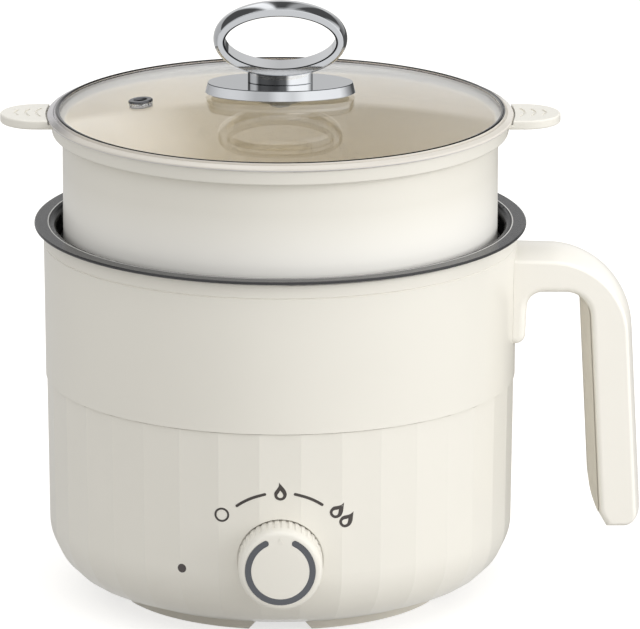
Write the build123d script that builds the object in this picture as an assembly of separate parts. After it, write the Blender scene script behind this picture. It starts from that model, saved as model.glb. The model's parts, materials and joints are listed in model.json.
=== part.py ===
from build123d import *
import math
import os

# Electric hot pot with a stacked steamer and a glass lid.
# Millimetres. The origin is on the pot's axis, on the surface the foot stands on. +Z is up and
# the control knob faces -Y. Azimuths are counted from the front, towards +X, where the handle is.

# ---- heights of the main joints --------------------------------------------------------------
pot_rim_height = 153.8
upper_housing_height = 63.6
steamer_rise = 43.4
foot_height = 4.6

# ---- inner pot ---------------------------------------------------------------------------------
pot_wall = 1.5
pot_side_clearance = 1.3
pot_floor_thickness = 2.0
pot_floor_height = 60.0
pot_corner_round = 12.0
flange_overhang = 3.7
flange_thickness = 1.2
flange_lip_round = 3.0
ledge_drop = 10.2
ledge_width = 5.0
ledge_round = 1.2
seal_thickness = 0.6
seal_width = 2.2

# ---- housing -----------------------------------------------------------------------------------
upper_radius_top = 96.3
upper_draft = 0.55
housing_wall = 2.5
rim_line_drop = 6.7
rim_line_depth = 0.35
seam_gap = 0.3
tongue_depth = 6.0
tongue_wall = 1.6
facet_count = 36
seam_step = 0.75
facet_draft = 0.7
bottom_round = 26.5
bottom_round_sink = 0.2
facet_end_inset = 11.3
base_inset = 22.8
base_lip = 1.3
base_lip_gap = 0.1
base_floor = 2.0
base_opening_margin = 13.0
fit_clearance = 0.2
part_gap = 0.05

# ---- base cover --------------------------------------------------------------------------------
foot_margin = 4.0
foot_width = 10.0
foot_draft = 1.1
base_plate_thickness = 1.4
foot_gaps = (0, 75, -75)
foot_gap_width = 18.6
foot_gap_flare = 3.7
base_ring_wall = 2.0
base_ring_height = 3.2
vent_slots = 10
vent_slot_width = 2.6
vent_slot_length = 12.0
vent_slot_radius = 22.0
pad_width = 3.6
pad_depth = 1.5
pad_proud = 0.3
pad_span = 22
pad_azimuths = (41, -41, 130, -130)
base_screw_azimuths = (58, -58, 155, -155)
base_screw_head_radius = 2.9
base_screw_head_height = 1.8
screw_radius = 1.5
base_boss_radius = 3.6
base_boss_height = 12.0

# ---- heater ------------------------------------------------------------------------------------
plate_inset = 25.5
plate_thickness = 5.0
element_inset = 16.0
element_tube = 3.3
element_arc = 320
element_tail = 9.0
element_pin = 6.0
shield_margin = 4.0
shield_thickness = 0.8
shield_drop = 10.2
shield_rim = 7.0
stud_circle = 30.0
stud_radius = 2.0
stud_azimuths = (0, 120, 240)
stud_collar_radius = 4.0
stud_depth_in_plate = 3.0
nut_radius = 3.6
nut_height = 2.6
well_wall = 2.0
well_floor = 2.5
thermostat_radius = 8.0
thermostat_height = 8.0
strap_thickness = 0.8
strap_width = 7.0
strap_reach = 15.0
fuse_radius = 2.2
fuse_length = 24.0
fuse_offset = 20.0
fuse_clip_width = 6.0
fuse_lead_radius = 0.7

# ---- control knob and switch -------------------------------------------------------------------
knob_height = 37.5
knob_radius = 16.8
knob_depth = 16.0
knob_edge_depth = 4.8
knob_edge_inset = 2.4
knob_dome = 0.7
knob_wall = 2.4
knob_pocket_clearance = 0.5
knob_gap = 0.6
knob_grooves = 38
knob_groove_radius = 0.85
hub_radius = 5.5
hub_start = 3.0
shaft_radius = 3.0
shaft_flat = 1.9
shaft_fit = 0.05
clip_thickness = 0.5
trim_outer_radius = 14.0
trim_band = 2.4
trim_thickness = 0.9
trim_proud = 0.3
trim_gap_angle = 27
pointer_radius = 11.4
pointer_length = 4.6
pointer_width = 2.3
pointer_proud = 0.35
pocket_depth = 1.7
boss_thickness = 3.1
boss_radius = 23.0
bushing_radius = 4.5
switch_width = 26.0
switch_height = 23.0
switch_length = 20.0
switch_tab_pitch = 8.0
switch_tab_length = 7.0
switch_tab_drop = 6.0
switch_tab_width = 4.8
switch_tab_thickness = 0.8
switch_nut_radius = 7.0
switch_nut_height = 2.2

# ---- indicator ---------------------------------------------------------------------------------
indicator_azimuth = -24.6
indicator_height = 31.9
indicator_radius = 1.8
indicator_proud = 0.3
lamp_radius = 2.8
lamp_length = 13.0
lamp_wall = 1.2

# ---- power inlet -------------------------------------------------------------------------------
inlet_height = 38.0
inlet_width = 26.6
inlet_body_height = 19.2
inlet_depth = 21.0
inlet_wall = 1.4
inlet_flange_margin = 3.6
inlet_flange_thickness = 1.8
inlet_socket_depth = 16.0
inlet_pad_height = 0.9
pin_spacing = 14.0
pin_thickness = 2.0
pin_width = 4.0
pin_length = 13.0
pin_tail = 7.0
earth_rise = 4.0

# ---- terminal block and wiring -----------------------------------------------------------------
block_length = 30.0
block_width = 12.0
block_height = 11.0
block_offset = -12.0
block_inset = 53.0
wire_radius = 1.2
wire_bend = 6.0
wire_bay = 38.0

# ---- handle ------------------------------------------------------------------------------------
handle_width = 34.0
handle_top_drop = 11.0
handle_top_fall = 1.3
handle_crown = 2.2
handle_shoulder_round = 1.8
handle_edge_round = 2.8
arm_thickness = 15.7
handle_projection = 47.1
handle_outer_round = 34.0
handle_tilt = 3.0
grip_thickness = 17.3
grip_wall = 3.0
grip_side_wall = 6.0
grip_end_height = 26.6
grip_end_round = 7.0
grip_end_inset = 4.1
grip_end_rise = 7.4
grip_corner_round = 3.5
cover_thickness = 3.3
cover_inner_width = 16.0
cover_inset = 0.6
cover_end_rise = 6.7
cover_end_round = 30.0
cover_tongue_inset = 4.0
root_thickness = 4.0
root_foot_drop = 48.3
root_foot_thickness = 3.6
root_foot_round = 4.0
arm_inner_round = 10.0
root_inner_round = 6.5
handle_screw_drops = (32.8, 42.8)
handle_screw_radius = 2.0
handle_screw_head_radius = 3.6
handle_screw_head_height = 2.2
handle_screw_depth = 2.6
handle_skin = 0.4
paring_overlap = 0.03
bracket_thickness = 1.2
bracket_margin = 6.0
bracket_span = 14
cover_screw_radius = 1.4
cover_screw_head_radius = 2.6
cover_screw_head_height = 1.4
cover_screw_margin = 22.0
cover_screw_depth = 4.0

# ---- steamer -----------------------------------------------------------------------------------
steamer_side_clearance = 2.7
steamer_wall = 2.0
steamer_seat_round = 2.8
steamer_seat_clearance = 0.2
steamer_plug_clearance = 0.7
steamer_plug_depth = 18.0
collar_overhang = 4.9
collar_draft = 0.8
collar_height = 6.1
collar_wall = 1.6
collar_ledge = 3.8
steam_hole_radius = 2.4
steam_hole_shares = (0.176, 0.352, 0.528, 0.703, 0.856)
steam_hole_count = 6
ear_overhang = 5.3
ear_radius = 15.0
ear_thickness = 3.7
ear_top_rise = 1.3
ear_edge_round = 0.7
ear_groove_places = (0.4, 4.7, 8.9)
ear_groove_lengths = (14.0, 12.0, 9.0)
ear_groove_width = 1.1
ear_groove_depth = 0.45

# ---- lid ---------------------------------------------------------------------------------------
lid_seat_clearance = 0.2
glass_thickness = 4.0
glass_rise = 7.0
glass_top_height = 9.4
band_overhang = 1.45
band_wall = 0.6
band_radial_clearance = 0.3
band_cover = 1.9
band_crown = 0.65
band_hem_height = 1.85
band_crease = 0.45
glass_hole_radius = 4.2
vent_place = (-56.5, -3.5)
vent_hole_radius = 4.0
vent_flange_radius = 5.0
vent_bore_radius = 2.3
vent_flange_thickness = 0.9
disc_half_length = 30.4
disc_half_width = 17.5
disc_thickness = 4.1
disc_taper = 14
gasket_margin = 2.4
gasket_thickness = 0.5
post_half_length = 13.2
post_half_width = 7.0
post_height = 2.65
post_foot_round = 0.3
ring_half_length = 22.5
ring_half_height = 10.75
ring_edge_thickness = 2.9
ring_crown = 1.7
ring_depth = 16.0
ring_edge_round = 0.4
lid_screw_radius = 2.5
lid_screw_head_radius = 4.4
lid_screw_head_height = 2.2
washer_radius = 9.0
washer_thickness = 1.8

# ---- sizes that follow -------------------------------------------------------------------------
seam_height = pot_rim_height - upper_housing_height
steamer_height = pot_rim_height + steamer_rise
upper_radius_bottom = upper_radius_top - upper_draft
facet_radius_top = upper_radius_bottom - seam_step
facet_radius_bottom = facet_radius_top - facet_draft
facet_end_radius = facet_radius_bottom - facet_end_inset
base_radius = facet_radius_bottom - base_inset
base_opening_radius = base_radius - base_opening_margin
base_bottom = foot_height + base_plate_thickness
base_lip_bottom = foot_height + base_lip_gap
foot_radius = base_radius - foot_margin
round_centre_height = base_lip_bottom - bottom_round_sink + bottom_round
round_centre_radius = facet_radius_bottom - bottom_round
flange_radius = upper_radius_top + flange_overhang
pot_outer_radius = upper_radius_top - housing_wall - pot_side_clearance
pot_inner_radius = pot_outer_radius - pot_wall
pot_lower_inner = pot_inner_radius - ledge_width
pot_lower_outer = pot_lower_inner + pot_wall
ledge_height = pot_rim_height - ledge_drop
flange_bottom = pot_rim_height - flange_thickness
housing_top = flange_bottom - seal_thickness
pot_bottom = pot_floor_height - pot_floor_thickness
plate_radius = pot_lower_outer - plate_inset
plate_bottom = pot_bottom - plate_thickness
element_radius = plate_radius - element_inset
shield_radius = plate_radius + shield_margin
shield_height = plate_bottom - shield_drop
lower_top = seam_height - seam_gap
lower_inner_top = facet_radius_top - housing_wall
lower_inner_bottom = facet_radius_bottom - housing_wall
tongue_radius = lower_inner_top - fit_clearance
foot_mid_radius = foot_radius - foot_width / 2
pocket_floor = facet_radius_bottom - pocket_depth
knob_back = pocket_floor + knob_gap
knob_front = knob_back + knob_depth
boss_back = pocket_floor - boss_thickness
switch_back = boss_back - switch_length
handle_top = pot_rim_height - handle_top_drop
handle_reach = upper_radius_top + handle_projection
arm_bottom = handle_top - arm_thickness
root_foot_height = pot_rim_height - root_foot_drop
handle_screw_heights = [pot_rim_height - drop for drop in handle_screw_drops]
block_place = (block_offset, facet_radius_top - block_inset)
steamer_radius = pot_inner_radius - steamer_side_clearance
steamer_seat = ledge_height + steamer_seat_clearance
steamer_bottom = steamer_seat - steamer_plug_depth
collar_radius_top = steamer_radius + collar_overhang
collar_radius_bottom = collar_radius_top - collar_draft
collar_inner = collar_radius_top - collar_wall
ear_centre = collar_radius_top + ear_overhang
lid_seat = steamer_height + lid_seat_clearance
glass_top = steamer_height + glass_top_height
band_outer_radius = collar_radius_top + band_overhang
band_channel_radius = collar_inner - band_radial_clearance
glass_radius = band_channel_radius - band_wall
band_inner_radius = band_channel_radius - band_cover
glass_sphere = (band_inner_radius**2 + glass_rise**2) / (2 * glass_rise)
disc_bottom = glass_top + gasket_thickness
disc_top = disc_bottom + disc_thickness
past_wall = facet_radius_top + 10
ring_centre = disc_top + post_height + ring_crown + ring_edge_thickness + ring_half_height


def spot(radius, azimuth, height=0.0):
    """The point at a radius and azimuth, counted from the front towards +X."""
    angle = math.radians(azimuth)
    return (radius * math.sin(angle), -radius * math.cos(angle), height)


def round_bar(radius, low, high, at=(0, 0)):
    """An upright cylinder between two heights."""
    return Pos(at[0], at[1], (low + high) / 2) * Cylinder(radius, high - low)


def facing_bar(radius, near, far, height, x=0.0):
    """A cylinder along Y between two distances in front of the axis."""
    return Pos(x, -(near + far) / 2, height) * Rot(90, 0, 0) * Cylinder(radius, far - near)


def ring(outer, inner, low, high):
    return round_bar(outer, low, high) - round_bar(inner, low - 1, high + 1)


def block(x_span, y_span, z_span):
    """A box given by its three spans."""
    size = [high - low for low, high in (x_span, y_span, z_span)]
    middle = [(low + high) / 2 for low, high in (x_span, y_span, z_span)]
    return Pos(*middle) * Box(*size)


def outline(points):
    """A flat face through (x, y) points; a third number rounds that corner."""
    face = make_face(Polyline(*[point[:2] for point in points], close=True)).face()
    for point in points:
        if len(point) > 2 and point[2] > 0:
            corner = face.vertices().sort_by_distance((point[0], point[1], 0))[0]
            face = face.fillet_2d(point[2], [corner])
    return face


def turned(points):
    """A solid of revolution about Z through (radius, height) points."""
    return revolve(Plane.XZ * outline(points), Axis.Z)


def sector(outer, inner, low, high, azimuth, span):
    """A stretch of a ring, centred on an azimuth, with straight radial ends."""
    reach = outer * 2
    half = math.radians(span / 2)
    side = reach * math.tan(half)
    wedge = make_face(Polyline((0, 0), (side, -reach), (-side, -reach), close=True))
    wedge = Pos(0, 0, low - 1) * extrude(wedge, high - low + 2)
    return ring(outer, inner, low, high) & (Rot(0, 0, azimuth) * wedge)


def group(solids):
    return Compound([solid for item in solids for solid in item.solids()])


# ---- inner pot and its seal --------------------------------------------------------------------
def make_inner_pot():
    return turned([
        (0, pot_bottom),
        (pot_lower_outer, pot_bottom, pot_corner_round + pot_wall),
        (pot_lower_outer, ledge_height - pot_wall, ledge_round),
        (pot_outer_radius, ledge_height - pot_wall, ledge_round),
        (pot_outer_radius, flange_bottom),
        (flange_radius, flange_bottom, flange_thickness * 0.45),
        (flange_radius, pot_rim_height, flange_thickness * 0.45),
        (pot_inner_radius, pot_rim_height, flange_lip_round),
        (pot_inner_radius, ledge_height, ledge_round),
        (pot_lower_inner, ledge_height, ledge_round),
        (pot_lower_inner, pot_floor_height, pot_corner_round),
        (0, pot_floor_height),
    ])


def make_flange_seal():
    outer = upper_radius_top - 1.0
    return ring(outer, outer - seal_width, housing_top, flange_bottom)


# ---- housing -----------------------------------------------------------------------------------
def upper_wall_radius(height):
    share = (height - seam_height) / (housing_top - seam_height)
    return upper_radius_bottom + (upper_radius_top - upper_radius_bottom) * share


def upper_outside():
    """The upper housing's outer surface as a filled body, without its rim line."""
    return turned([
        (0, seam_height),
        (upper_radius_bottom, seam_height),
        (upper_radius_top, housing_top),
        (0, housing_top),
    ])


def make_upper_housing():
    line = flange_bottom - rim_line_drop
    lip_radius = pot_outer_radius + 2 * fit_clearance
    lip_height = 2.5
    shelf = seam_height + 2.0
    shell = turned([
        (upper_radius_bottom, seam_height),
        (upper_wall_radius(line - rim_line_depth), line - rim_line_depth),
        (upper_wall_radius(line) - rim_line_depth, line),
        (upper_wall_radius(line + rim_line_depth), line + rim_line_depth),
        (upper_radius_top, housing_top, 0.7),
        (lip_radius, housing_top),
        (lip_radius, housing_top - lip_height),
        (upper_radius_top - housing_wall, housing_top - lip_height - 1.0),
        (upper_radius_bottom - housing_wall, shelf + 2.5),
        (tongue_radius - tongue_wall, shelf),
        (tongue_radius - tongue_wall, seam_height - tongue_depth),
        (tongue_radius, seam_height - tongue_depth),
        (tongue_radius, seam_height),
    ])
    for height in handle_screw_heights:
        bore = Pos(upper_radius_top, 0, height) * Rot(0, 90, 0) * Cylinder(
            handle_screw_radius + fit_clearance, 4 * housing_wall
        )
        shell -= bore
    return shell


def arc_height(radius, round_size):
    """Height of the bottom round's surface at a radius."""
    across = radius - round_centre_radius
    return round_centre_height - math.sqrt(round_size**2 - across**2)


def facet_slab():
    """The space between two opposite facets, with the bottom rounds along both edges."""
    drop = round_centre_height
    rise = lower_top
    low, high = facet_radius_bottom, facet_radius_top
    lift = round_centre_height - bottom_round
    right = (
        Line((low, drop), (high, rise)),
        Line((high, rise), (-high, rise)),
        Line((-high, rise), (-low, drop)),
        RadiusArc((-low, drop), (-round_centre_radius, lift), -bottom_round),
        Line((-round_centre_radius, lift), (round_centre_radius, lift)),
        RadiusArc((round_centre_radius, lift), (low, drop), -bottom_round),
    )
    face = make_face(Plane.XZ * Curve(children=list(right)))
    return extrude(face, 2 * high, both=True)


def make_lower_outside():
    body = facet_slab()
    slab = body
    for index in range(1, facet_count // 2):
        body &= Rot(0, 0, 360 / facet_count * index) * slab
    edge_height = arc_height(facet_end_radius, bottom_round)
    slope = (edge_height - base_lip_bottom) / (facet_end_radius - base_radius)
    reach = past_wall
    smooth = turned([
        (0, base_bottom),
        (base_radius - base_lip, base_bottom),
        (base_radius - base_lip, base_lip_bottom),
        (base_radius, base_lip_bottom),
        (reach, base_lip_bottom + slope * (reach - base_radius)),
        (reach, lower_top + 10),
        (0, lower_top + 10),
    ])
    return body & smooth


def make_lower_inside():
    """The hollow of the lower housing."""
    inner_round = bottom_round - housing_wall
    lift = round_centre_height - inner_round
    edges = (
        Line((0, lift), (round_centre_radius, lift)),
        RadiusArc((round_centre_radius, lift), (lower_inner_bottom, round_centre_height), -inner_round),
        Line((lower_inner_bottom, round_centre_height), (lower_inner_top, lower_top + 1)),
        Line((lower_inner_top, lower_top + 1), (0, lower_top + 1)),
        Line((0, lower_top + 1), (0, lift)),
    )
    return revolve(make_face(Plane.XZ * Curve(children=list(edges))), Axis.Z)


def make_lower_housing():
    outside = make_lower_outside()
    inside = make_lower_inside()
    floor = base_bottom + base_floor

    # The control's boss thickens the front wall from inside, and the pocket is cut into it.
    boss = facing_bar(boss_radius, boss_back, past_wall, knob_height)
    pad_reach = facet_radius_top + inlet_pad_height
    margin = inlet_flange_margin + 1.5
    half_width = inlet_width / 2 + margin
    half_height = inlet_body_height / 2 + margin
    pad = block(
        (-half_width, half_width),
        (lower_inner_bottom - 6, pad_reach),
        (inlet_height - half_height, inlet_height + half_height),
    )
    shell = (outside - inside) + (boss & outside) + pad
    shell -= ring(lower_inner_bottom - 3, 0.01, round_centre_height, lower_top) & pad
    shell += ring(base_radius, base_opening_radius, base_bottom, floor)
    shell -= round_bar(base_opening_radius, 0, floor + 1)

    for azimuth in base_screw_azimuths:
        x, y, _ = spot(base_screw_circle(), azimuth)
        post = round_bar(base_boss_radius, base_bottom, base_bottom + base_boss_height, (x, y))
        shell += post
        shell -= round_bar(screw_radius + part_gap, 0, base_bottom + base_boss_height - 2, (x, y))

    pocket = facing_bar(knob_radius + knob_pocket_clearance, pocket_floor, past_wall, knob_height)
    shell -= pocket
    shell -= facing_bar(bushing_radius + fit_clearance, boss_back - housing_wall, past_wall, knob_height)

    shell -= indicator_bar(indicator_radius + part_gap, lower_inner_bottom - 6, past_wall)
    socket = block(
        (-inlet_width / 2 - fit_clearance, inlet_width / 2 + fit_clearance),
        (lower_inner_bottom - 4 * housing_wall, pad_reach + 5),
        (
            inlet_height - inlet_body_height / 2 - fit_clearance,
            inlet_height + inlet_body_height / 2 + fit_clearance,
        ),
    )
    return shell - socket


# ---- base cover, pads and screws ---------------------------------------------------------------
def base_screw_circle():
    """The circle that the base screws stand on, just outside the opening."""
    return base_opening_radius + base_boss_radius


def foot_gap(azimuth):
    """The space between two foot segments, wider at the floor."""
    low = foot_gap_width / 2 + foot_gap_flare
    high = foot_gap_width / 2
    face = outline([(-low, -0.01), (low, -0.01), (high, foot_height), (-high, foot_height)])
    return Rot(0, 0, azimuth) * extrude(Plane.XZ * face, foot_radius * 1.3)


def make_base_cover():
    rim_inner = base_opening_radius - 2 * fit_clearance
    foot = turned([
        (foot_radius - foot_width, pad_proud),
        (foot_radius, pad_proud),
        (foot_radius + foot_draft, foot_height),
        (foot_radius - foot_width, foot_height),
    ])
    for azimuth in foot_gaps:
        foot -= foot_gap(azimuth)
    cover = round_bar(base_radius - base_lip - fit_clearance, foot_height, base_bottom)
    cover += foot
    cover += ring(rim_inner, rim_inner - base_ring_wall, base_bottom, base_bottom + base_ring_height)
    cover -= make_pads(part_gap)
    for index in range(vent_slots):
        slot = block(
            (vent_slot_radius, vent_slot_radius + vent_slot_length),
            (-vent_slot_width / 2, vent_slot_width / 2),
            (0, base_bottom + 1),
        )
        cover -= Rot(0, 0, 360 / vent_slots * (index + 0.5) + 90) * slot
    for azimuth in stud_azimuths:
        at = spot(stud_circle, azimuth)[:2]
        well = base_well_top()
        cover += round_bar(nut_radius + 0.6 + well_wall, foot_height, well, at)
        cover -= round_bar(nut_radius + 0.6, 0, well - well_floor, at)
        cover -= round_bar(stud_radius + fit_clearance, 0, well + 1, at)
    for azimuth in base_screw_azimuths:
        at = spot(base_screw_circle(), azimuth)[:2]
        cover -= round_bar(screw_radius + fit_clearance, -1, base_bottom + 1, at)
        cover -= round_bar(base_screw_head_radius + fit_clearance, -1, base_screw_seat(), at)
    return cover


def base_screw_seat():
    return base_screw_head_height + 0.5


def base_well_top():
    return base_bottom + nut_height + well_floor


def make_pads(clearance=0.0):
    """The non-slip pads, which stand a little out of the foot's underside."""
    return group([
        sector(
            foot_mid_radius + pad_width / 2 + clearance,
            foot_mid_radius - pad_width / 2 - clearance,
            0,
            pad_depth + clearance,
            azimuth,
            pad_span + clearance,
        )
        for azimuth in pad_azimuths
    ])


def make_base_screws():
    screws = []
    for azimuth in base_screw_azimuths:
        at = spot(base_screw_circle(), azimuth)[:2]
        head = round_bar(base_screw_head_radius, 0.5, base_screw_seat(), at)
        slot = Pos(at[0], at[1], 0.5) * Box(2 * base_screw_head_radius, 0.7, 1.0)
        shank = round_bar(screw_radius, base_screw_seat(), base_bottom + base_boss_height - 4, at)
        screws.append(head + shank - slot)
    return group(screws)


# ---- heater ------------------------------------------------------------------------------------
def make_heating_plate():
    plate = round_bar(plate_radius, plate_bottom, pot_bottom)
    for azimuth in stud_azimuths:
        at = spot(stud_circle, azimuth)[:2]
        plate -= round_bar(stud_radius + part_gap, 0, plate_bottom + stud_depth_in_plate + 0.2, at)
    for x in (-strap_reach, strap_reach):
        plate -= round_bar(screw_radius + part_gap, 0, plate_bottom + stud_depth_in_plate, (x, 0))
    return plate


def element_end(turn):
    angle = math.radians(turn)
    return (element_radius * math.cos(angle), element_radius * math.sin(angle))


def element_turn():
    """Rotation that puts the element's open side at the back."""
    return 90 + (360 - element_arc) / 2


def make_heating_element():
    height = plate_bottom - element_tube - part_gap
    loop = Pos(0, 0, height) * Rot(0, 0, element_turn()) * Torus(
        element_radius, element_tube, major_angle=element_arc
    )
    for turn in (element_turn(), element_turn() + element_arc):
        x, y = element_end(turn)
        loop += Pos(x, y, height) * Sphere(element_tube)
        loop += round_bar(element_tube, height - element_tail, height, (x, y))
        loop += round_bar(1.0, height - element_tail - element_pin, height - element_tail, (x, y))
    return loop


def make_heat_shield():
    low, high = shield_height, shield_height + shield_thickness
    shield = round_bar(shield_radius, low, high)
    shield += ring(shield_radius, shield_radius - shield_thickness, low, low + shield_rim)
    shield -= round_bar(strap_reach + 4.5, 0, high + 1)
    for azimuth in stud_azimuths:
        shield -= round_bar(stud_radius + fit_clearance, 0, high + 1, spot(stud_circle, azimuth)[:2])
    for turn in (element_turn(), element_turn() + element_arc):
        shield -= round_bar(element_tube + 1.5, 0, high + 1, element_end(turn))
    return shield


def make_tie_studs():
    top = plate_bottom + stud_depth_in_plate
    low = base_well_top() - well_floor - nut_height - 0.6
    return group([
        round_bar(stud_radius, low, top, spot(stud_circle, azimuth)[:2])
        + round_bar(
            stud_collar_radius,
            shield_height + shield_thickness,
            plate_bottom,
            spot(stud_circle, azimuth)[:2],
        )
        for azimuth in stud_azimuths
    ])


def make_stud_nuts():
    nuts = []
    for azimuth in stud_azimuths:
        x, y, _ = spot(stud_circle, azimuth)
        for top in (shield_height, base_well_top() - well_floor):
            nut = Pos(x, y, top - nut_height) * extrude(RegularPolygon(nut_radius, 6), nut_height)
            nuts.append(nut - round_bar(stud_radius + part_gap, 0, top + 1, (x, y)))
    return group(nuts)


def make_thermostat():
    low = plate_bottom - thermostat_height
    body = round_bar(thermostat_radius, low, plate_bottom)
    body -= ring(thermostat_radius + 1, thermostat_radius - 0.8, low + 3.0, low + 3.6)
    for x in (-4.0, 4.0):
        body += block((x - 0.4, x + 0.4), (-2.4, 2.4), (low - 8, low))
    return body


def make_thermostat_strap():
    low = plate_bottom - thermostat_height - strap_thickness
    half = strap_width / 2
    leg = thermostat_radius + 1.0
    bar = block((-leg - strap_thickness, leg + strap_thickness), (-half, half), (low, low + strap_thickness))
    bar -= block((-5.5, 5.5), (-2.8, 2.8), (low - 1, low + 2))
    for side in (-1, 1):
        inner, outer = sorted((side * leg, side * (leg + strap_thickness)))
        bar += block((inner, outer), (-half, half), (low, plate_bottom - part_gap))
        near, far = sorted((side * leg, side * (strap_reach + 3.5)))
        seat = plate_bottom - part_gap
        bar += block((near, far), (-half, half), (seat - strap_thickness, seat))
        bar -= round_bar(screw_radius + fit_clearance, 0, plate_bottom + 1, (side * strap_reach, 0))
    return bar


def make_strap_screws():
    seat = plate_bottom - strap_thickness - part_gap
    return group([
        round_bar(2.6, seat - 1.6, seat, (x, 0))
        + round_bar(screw_radius, seat, plate_bottom + stud_depth_in_plate - 0.3, (x, 0))
        - Pos(x, 0, seat - 1.6) * Box(6, 0.7, 1.2)
        for x in (-strap_reach, strap_reach)
    ])


def fuse_height():
    return plate_bottom - fuse_radius - part_gap


def fuse_bar(radius, length):
    """A cylinder on the fuse's axis."""
    return Pos(0, fuse_offset, fuse_height()) * Rot(0, 90, 0) * Cylinder(radius, length)


def make_thermal_fuse():
    return fuse_bar(fuse_radius, fuse_length) + fuse_bar(fuse_lead_radius, fuse_length + 10)


def make_fuse_clip():
    inner = fuse_radius + part_gap
    outer = inner + strap_thickness
    half = fuse_clip_width / 2
    saddle = fuse_bar(outer, fuse_clip_width) - fuse_bar(inner, fuse_clip_width + 1)
    saddle -= block((-9, 9), (fuse_offset - 9, fuse_offset + 9), (fuse_height(), plate_bottom + 9))
    for side in (-1, 1):
        near, far = sorted((fuse_offset + side * inner, fuse_offset + side * outer))
        saddle += block((-half, half), (near, far), (fuse_height() - 0.3, plate_bottom - part_gap))
    return saddle


# ---- switch and knob ---------------------------------------------------------------------------
def make_rotary_switch():
    half_width, half_height = switch_width / 2, switch_height / 2
    body = block(
        (-half_width, half_width),
        (-boss_back, -switch_back),
        (knob_height - half_height, knob_height + half_height),
    )
    body = fillet(body.edges().filter_by(Axis.Y), 2.0)
    body += facing_bar(bushing_radius, boss_back - 1, knob_back + 1.2, knob_height)
    middle = knob_height - switch_tab_drop
    for x in (-switch_tab_pitch, 0.0, switch_tab_pitch):
        body += block(
            (x - switch_tab_width / 2, x + switch_tab_width / 2),
            (-switch_back, -switch_back + switch_tab_length),
            (middle - switch_tab_thickness / 2, middle + switch_tab_thickness / 2),
        )
    return body - facing_bar(shaft_radius + shaft_fit, switch_back + 5, knob_back + 9, knob_height)


def make_switch_nut():
    nut = Pos(0, -pocket_floor, knob_height) * Rot(90, 0, 0) * extrude(
        RegularPolygon(switch_nut_radius, 6), switch_nut_height
    )
    return nut - facing_bar(bushing_radius + part_gap, boss_back, knob_front, knob_height)


def shaft_shape(radius, near, far, flat):
    """A bar with a flat along its top from the knob's back forwards."""
    bar = facing_bar(radius, near, far, knob_height)
    start = max(near, knob_back + hub_start)
    cut = block((-9, 9), (-far - 1, -start), (knob_height + flat, knob_height + 9))
    return bar - cut


def make_switch_shaft():
    return shaft_shape(shaft_radius, switch_back + 5.5, knob_front - 4.4, shaft_flat)


def knob_blank():
    """The knob without its grooves, with its back at z = 0."""
    shoulder = (knob_radius, knob_depth - knob_dome - knob_edge_depth)
    edge = (knob_radius - knob_edge_inset, knob_depth - knob_dome)
    lines = (
        Line((0, 0), (knob_radius, 0)),
        Line((knob_radius, 0), shoulder),
        Spline(shoulder, edge, tangents=[(0, 1), (-1, 0.12)]),
        Spline(edge, (0, knob_depth), tangents=[(-1, 0.12), (-1, 0)]),
        Line((0, knob_depth), (0, 0)),
    )
    return revolve(make_face(Plane.XZ * Curve(children=list(lines))), Axis.Z)


def face_knob(solid):
    """Puts a body made with its back at z = 0 onto the front of the housing."""
    return Pos(0, -knob_back, knob_height) * Rot(90, 0, 0) * solid


def trim_face_height():
    """Distance of the knob's face from its back at the trim ring's outer edge."""
    return knob_depth - knob_dome


def make_trim_ring(clearance=0.0, bottom=None, top=None):
    low = trim_face_height() + trim_proud - trim_thickness if bottom is None else bottom
    high = trim_face_height() + trim_proud if top is None else top
    outer = trim_outer_radius + clearance
    inner = trim_outer_radius - trim_band - clearance
    middle = trim_outer_radius - trim_band / 2
    band = ring(outer, inner, low, high)
    half = math.radians(trim_gap_angle)
    reach = 3 * outer
    side = reach * math.tan(half)
    wedge = make_face(Polyline((0, 0), (side, reach), (-side, reach), close=True))
    band -= Pos(0, 0, low - 1) * extrude(wedge, high - low + 2)
    for sign in (-1, 1):
        at = (sign * middle * math.sin(half), middle * math.cos(half))
        band += round_bar(trim_band / 2 + clearance, low, high, at)
    return band


def make_control_knob():
    body = knob_blank()
    groove_ring = knob_radius + knob_groove_radius * 0.55
    groove_end = knob_depth - knob_edge_depth - knob_dome
    for index in range(knob_grooves):
        angle = 2 * math.pi * (index + 0.5) / knob_grooves
        at = (groove_ring * math.cos(angle), groove_ring * math.sin(angle))
        body -= round_bar(knob_groove_radius, -1, groove_end, at)
        body -= Pos(at[0], at[1], groove_end) * Sphere(knob_groove_radius)
    face_wall = 3.4
    body -= round_bar(knob_radius - knob_wall, -1, knob_depth - face_wall)
    body += round_bar(hub_radius, hub_start, knob_depth - face_wall)
    half_length, half_width = pointer_length / 2, pointer_width / 2
    diamond = make_face(
        Polyline((0, half_length), (half_width, 0), (0, -half_length), (-half_width, 0), close=True)
    )
    face_height = trim_face_height()
    body += Pos(0, pointer_radius, face_height - 1) * extrude(diamond, 1 + pointer_proud)
    body -= make_trim_ring(part_gap, face_height + trim_proud - trim_thickness, knob_depth + 1)
    knob = face_knob(body)
    bore_flat = shaft_flat + clip_thickness + part_gap
    return knob - shaft_shape(shaft_radius + part_gap, knob_back - 1, knob_front - 3.6, bore_flat)


def make_knob_clip():
    """A flat spring between the shaft's flat and the knob's bore."""
    start = knob_back + hub_start + 0.2
    end = knob_front - 4.6
    low = knob_height + shaft_flat
    return block((-1.6, 1.6), (-end, -start), (low, low + clip_thickness))


# ---- indicator ---------------------------------------------------------------------------------
def indicator_bar(radius, near, far):
    """A cylinder across the wall at the indicator, between two distances from the axis."""
    bar = Pos(0, -(near + far) / 2, indicator_height) * Rot(90, 0, 0) * Cylinder(radius, far - near)
    return Rot(0, 0, indicator_azimuth) * bar


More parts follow.
